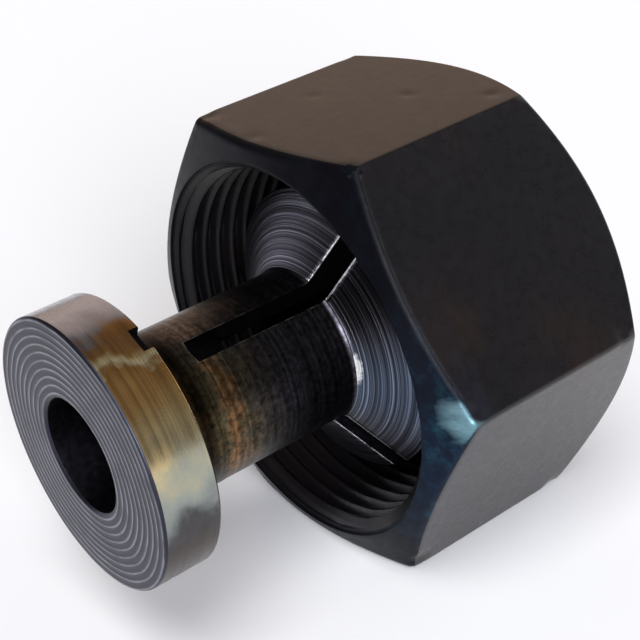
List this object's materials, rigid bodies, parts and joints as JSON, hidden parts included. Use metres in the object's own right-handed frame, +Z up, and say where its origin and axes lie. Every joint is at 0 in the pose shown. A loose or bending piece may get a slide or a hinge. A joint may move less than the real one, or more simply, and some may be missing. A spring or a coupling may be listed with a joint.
{
  "type": "router collet with clamping nut",
  "caption": "Slit steel collet with a tail ring and slim neck, held captive in a hexagonal clamping nut that screws onto a spindle nose.",
  "frame": {"origin": "on the common axis of the collet and the nut, in the plane of the nut's open face", "axes": "+Y along the axis, from the tail ring towards the closed face of the nut; +Z up, square to one wrench flat"},
  "size_m": [0.0346, 0.0344, 0.03],
  "materials": {
    "black_oxide_steel": "satin",
    "turned_steel": "turned"
  },
  "bodies": {
    "nut": {"collet_nut": "black_oxide_steel"},
    "collet": {"collet": "turned_steel"}
  },
  "joints": [
    {"name": "collet_spin", "type": "hinge", "parent": "nut", "child": "collet", "pos_m": [0, 0, 0], "axis": [0, 1, 0], "continuous": true}
  ]
}
